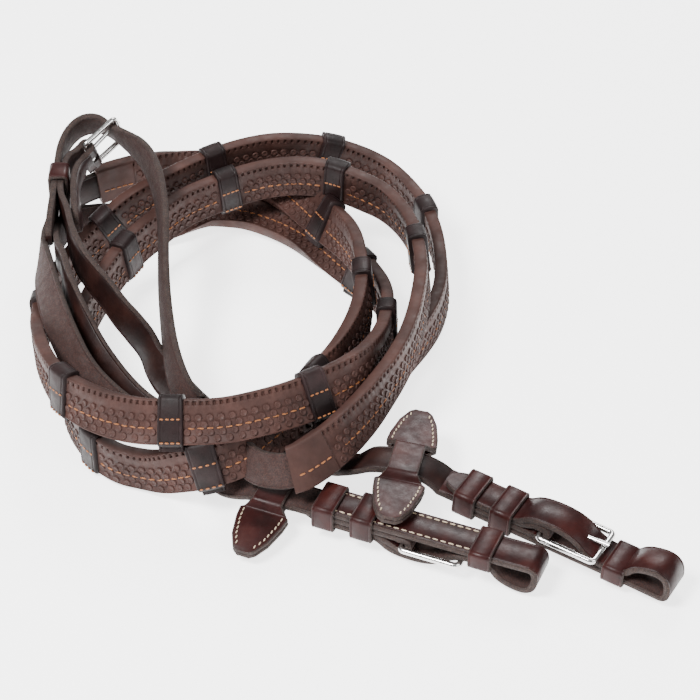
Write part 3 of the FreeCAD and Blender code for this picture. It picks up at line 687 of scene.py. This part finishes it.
def grip_sections(distances, total):
    """The grip's section at each distance: teeth along one edge, and smooth ends."""
    spots = np.array([f for f, h in FACE])
    heights = np.tile([h for f, h in FACE], (len(distances), 1))
    wave = np.clip(1.6 * np.sin(distances * 2 * math.pi / TOOTH_PITCH) - 0.1, 0, 1)
    for i in (3, 4):
        heights[:, i] -= 0.0011 * wave
    heights[:, 2] -= 0.0002 * wave
    smooth = np.clip((GRIP_END - np.minimum(distances, total - distances)) / 0.0008 + 0.5, 0, 1)[:, None]
    plain = np.array([0.0024, 0.0032] + [0.00345] * 8 + [0.0032, 0.0024])
    heights = heights * (1 - smooth) + plain * smooth
    edge = GRIP_W / 2 + 0.00025 * smooth
    across = edge * (1 - 2 * spots)
    lower = np.stack([across[:, ::-1], -heights[:, ::-1]], axis=2)
    upper = np.stack([across, heights], axis=2)
    return np.concatenate([lower, upper], axis=1)


def band_sections(spots):
    """A hand stop's section at each distance from its middle: crease lines and eased edges."""
    outline = np.array([(-0.0132, -0.0012), (-0.0113, -0.0016), (-0.0106, -0.0036), (-0.0092, -0.0047),
                        (0.0096, -0.0047), (0.0111, -0.0043), (0.0120, -0.0028), (0.0123, 0), (0.0120, 0.0028),
                        (0.0111, 0.0043), (0.0096, 0.0047), (-0.0092, 0.0047), (-0.0106, 0.0036),
                        (-0.0113, 0.0016), (-0.0132, 0.0012)])
    sunk = 0.00028 * np.exp(-((np.abs(spots) - 0.0041) / 0.00022) ** 2)
    sunk += 0.0006 * np.clip((np.abs(spots) - 0.0050) / 0.0005, 0, 1) ** 2
    away = np.sign(outline) * np.array([0.5, 1.0])
    return outline[None] - away[None] * sunk[:, None, None]


for side in ("left", "right"):
    run = RUN[side]
    grip_route = ROUTE[side][1]
    start = run.nearest(Vector(grip_route[0][:3]) + SHIFT)
    end = run.nearest(Vector(grip_route[-1][:3]) + SHIFT)
    sleeve_run = sampled(run, start, end, 0.0004)
    spots = sleeve_run.distances()
    sleeve = model(side + "_grip", *loft(sleeve_run, grip_sections(spots, spots[-1]))[:2], [RUBBER], sharp=50)
    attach(sleeve, "reins")
    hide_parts(side + "_grip_sleeve")
    on_rein[side].append(sleeve)

    nodes = ["%s_hand_stop_%d" % (side, i + 1) for i in range(HAND_STOPS[side])]
    middles = []
    for node in nodes:
        low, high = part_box(node)
        middles.append(sleeve_run.nearest([(a + b) / 2 for a, b in zip(low, high)]))
    bands, threads = [], []
    for middle in middles:
        offsets = np.linspace(-STOP_LENGTH / 2, STOP_LENGTH / 2, 45)
        bands.append(loft(sleeve_run.at(middle + offsets), band_sections(offsets)))
        for across in (0.0012, -0.0093):
            for face in (0.0047, -0.0047):
                threads.append(stitch_row(sleeve_run, middle - 0.0048, middle + 0.0048, across, face, 0.0024, 0.0004))
    stops = model(side + "_hand_stops", *joined(*bands)[:2], [BAND], sharp=45)
    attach(stops, "reins")
    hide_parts(*nodes)
    stop_threads = model(side + "_hand_stop_stitches", *joined(*threads)[:2], [ORANGE], parent=stops)
    on_rein[side].append(stops)

    knobs = []
    for number, share in enumerate(ROWS):
        at = np.arange(GRIP_END + 0.003 + (number % 2) * PIMPLE_PITCH / 2, spots[-1] - GRIP_END - 0.003, PIMPLE_PITCH)
        clear = np.min(np.abs(at[:, None] - np.array(middles)[None]), axis=1) > STOP_LENGTH / 2 + 0.0012
        for face in (1, -1):
            here = sleeve_run.at(at[clear]).shifted(GRIP_W / 2 * (1 - 2 * share), face * 0.0026)
            knobs.append(scattered(template_pimple(), here.place, here.heading, here.width * face,
                                   here.through * face))
    pimples = model(side + "_pimples", *joined(*knobs)[:2], [RUBBER], sharp=60, parent=sleeve)
    seam = GRIP_W / 2 * (1 - 2 * SEAM)
    rows = []
    for face in (1, -1):
        edges = [GRIP_END] + middles + [spots[-1] - GRIP_END]
        for a, b in zip(edges, edges[1:]):
            rows.append(stitch_row(sleeve_run, a + 0.007, b - 0.007, seam, face * 0.00275))
        for a, b in ((0.002, GRIP_END - 0.001), (spots[-1] - GRIP_END + 0.001, spots[-1] - 0.002)):
            rows.append(stitch_row(sleeve_run, a, b, seam, face * 0.0035, 0.0036))
    seam_threads = model(side + "_grip_stitches", *joined(*rows)[:2], [ORANGE], parent=sleeve)


# ---- Keepers and martingale stops ----
def band_loop(matrix, x, half, low, high, wall=0.0016, length=0.0105, corner=0.0014):
    """A leather band round a stack of straps, in a frame whose X runs along them."""
    y, bottom, top = half + wall / 2, low - wall / 2, high + wall / 2
    place, heading = [], []
    for cy, cz, first in ((y, bottom, -90), (y, top, 0), (-y, top, 90), (-y, bottom, 180)):
        centre_y = cy - math.copysign(corner, cy)
        centre_z = cz - corner if cz == top else cz + corner
        for step in range(7):
            turn = math.radians(first + step * 15)
            place.append(matrix @ Vector((x, centre_y + corner * math.cos(turn), centre_z + corner * math.sin(turn))))
            heading.append(matrix.to_3x3() @ Vector((0, -math.sin(turn), math.cos(turn))))
    width = matrix.to_3x3() @ Vector((1, 0, 0))
    run = Run([tuple(p) for p in place], [tuple(h) for h in heading], [tuple(width)] * len(place))
    section, slots = strap_section(length, wall, 0.0014)
    return loft(run, section, closed=True, slots=slots)


def plate(matrix, z, rise):
    """One layer of a martingale stop: its outline narrows to each head, its middle may rise over the strap."""
    outline = np.array(PLATE_HALF)
    y = np.linspace(-outline[-1, 1], outline[-1, 1], 121)
    half = np.interp(np.abs(y), outline[:, 1], outline[:, 0])
    ease = np.clip((0.0127 - np.abs(y)) / 0.0035, 0, 1)
    height = z + rise * ease * ease * (3 - 2 * ease)
    place = [tuple(matrix @ Vector((0, a, b))) for a, b in zip(y, height)]
    heading = unit(np.gradient(np.array(place), axis=0))
    across = matrix.to_3x3() @ Vector((-1, 0, 0))
    run = Run(place, heading, [tuple(across)] * len(place))
    t, r = PLATE_T / 2, 0.0005
    sections = []
    for h in half:
        sections.append([(-h + r, -t), (-h + 0.0015, -t + 0.0002), (h - 0.0015, -t + 0.0002), (h - r, -t),
                         (h, -t + r), (h, t - r), (h - r, t), (h - 0.0015, t - 0.0002), (-h + 0.0015, t - 0.0002),
                         (-h + r, t), (-h, t - r), (-h, -t + r)])
    slots = [0, 0, 0, 1, 1, 1, 0, 0, 0, 1, 1, 1]
    return loft(run, sections, slots=slots), run, half, y


def plate_stitches(run, half, y, face):
    """Stitches round both heads of a stop, just inside its edge."""
    bodies = []
    for end in (-1, 1):
        reach = np.arange(0.0150, 0.0345, 0.0026)
        for edge in (-1, 1):
            spots = np.interp(end * reach, y, run.distances())
            here = run.at(spots)
            inset = edge * (np.interp(reach, np.array(PLATE_HALF)[:, 1], np.array(PLATE_HALF)[:, 0]) - 0.0022)
            place = here.place + here.width * inset[:, None] + here.through * face
            side = 1.0 if face > 0 else -1.0
            bodies.append(scattered(template_stitch(0.0019, 0.00035), place, here.heading, here.width * side,
                                    here.through * side))
    return joined(*bodies)


def stop_frame(side):
    at, tilt = STOP_PLACE[side]
    (first, _), (last, _) = approach(side)[-2:]
    along = (last - first).normalized()
    side_way = Vector((0, 0, 1)).cross(along).normalized()
    rise = along.cross(side_way)
    turn = math.radians(tilt)
    tilted = side_way * math.cos(turn) + rise * math.sin(turn)
    return frame_matrix(first + along * at, along, tilted, along.cross(tilted))


for side in ("left", "right"):
    matrix = BIT_FRAME[side]
    for number, (node, body) in enumerate((("running_keeper_1",) * 2, ("running_keeper_2",) * 2,
                                           ("fixed_keeper", None))):
        high = MAIN_Z if body is None else TIP_Z
        shape = band_loop(matrix, KEEPER_AT[number], STRAP_W / 2 + 0.0002, BASE_Z - LEATHER_T / 2 - 0.0002,
                          high + LEATHER_T / 2 + 0.0002)
        keeper = model("%s_%s_leather" % (side, node), *shape[:2], [KEEPER, EDGE, KEEPER], shape[2])
        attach(keeper, "%s_%s" % (side, body) if body else "reins")
        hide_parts("%s_%s" % (side, node))
        on_rein[side].append(keeper)
    place = stop_frame(side)
    low = -LEATHER_T / 2 - 0.0002 - PLATE_T / 2
    for node, z, rise, face in (("stop_base", low, 0, -PLATE_T / 2), ("stop_top", low + PLATE_T, PLATE_RISE, PLATE_T / 2)):
        shape, plate_run, half, y = plate(place, z, rise)
        layer = model("%s_%s_leather" % (side, node), *shape[:2], [KEEPER, EDGE], shape[2])
        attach(layer, side + "_stop")
        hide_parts("%s_%s" % (side, node))
        threads = model("%s_%s_stitches" % (side, node), *plate_stitches(plate_run, half, y, face)[:2], [CREAM],
                        parent=layer)
        on_rein[side].append(layer)

keeper_frame = frame_matrix((-0.1394, 0.0755, 0.0394), Vector((0, 1, 0)), Vector((0, 0, 1)), Vector((1, 0, 0)))
shape = band_loop(keeper_frame, 0, STRAP_W / 2 + 0.0002, -0.0033, 0.0033, length=0.013)
centre_keeper = model("centre_keeper_leather", *shape[:2], [KEEPER, EDGE, KEEPER], shape[2])
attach(centre_keeper, "reins")
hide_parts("centre_keeper")

# ---- Buckles: the CAD wire frames and tongues, in polished steel ----
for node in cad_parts:
    if "buckle" in node:
        for material_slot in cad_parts[node].material_slots:
            material_slot.material = STEEL

# ---- Each rein's buckle parts, gathered into a list ----
for side in ("left", "right"):
    buckles = [side + "_bit_buckle_frame", side + "_bit_buckle_tongue"]
    if side == "left":
        buckles += ["centre_buckle_frame", "centre_buckle_tongue", "centre_keeper_leather"]

# ---- Table, light and camera ----
bpy.ops.mesh.primitive_plane_add(size=12, location=(0, 0, 0))
floor = bpy.context.object
floor.name = "table_top"
floor.data.materials.append(table_top("pale_table"))

world = bpy.data.worlds.new("studio")
world.use_nodes = True
world.node_tree.nodes["Background"].inputs["Color"].default_value = (1, 1, 1, 1)
world.node_tree.nodes["Background"].inputs["Strength"].default_value = 0.3
bpy.context.scene.world = world
for name, place, power, size in (("key", (-0.7, -0.5, 1.3), 46, 0.5), ("fill", (0.9, -0.8, 1.0), 12, 0.8),
                                 ("back", (0.2, 1.2, 1.1), 20, 0.6)):
    light = bpy.data.lights.new(name, "AREA")
    light.energy = power
    light.size = size
    lamp = bpy.data.objects.new(name, light)
    lamp.location = place
    lamp.rotation_euler = (-Vector(place)).to_track_quat("-Z", "Y").to_euler()
    bpy.context.scene.collection.objects.link(lamp)

camera_data = bpy.data.cameras.new("camera")
camera_data.lens = 128.57
camera_data.sensor_width = 36
camera = bpy.data.objects.new("camera", camera_data)
camera.location = Vector((0.004, -0.92325, 0.77135)) + SHIFT
camera.rotation_euler = (math.radians(50), 0, 0)
bpy.context.scene.collection.objects.link(camera)
bpy.context.scene.camera = camera
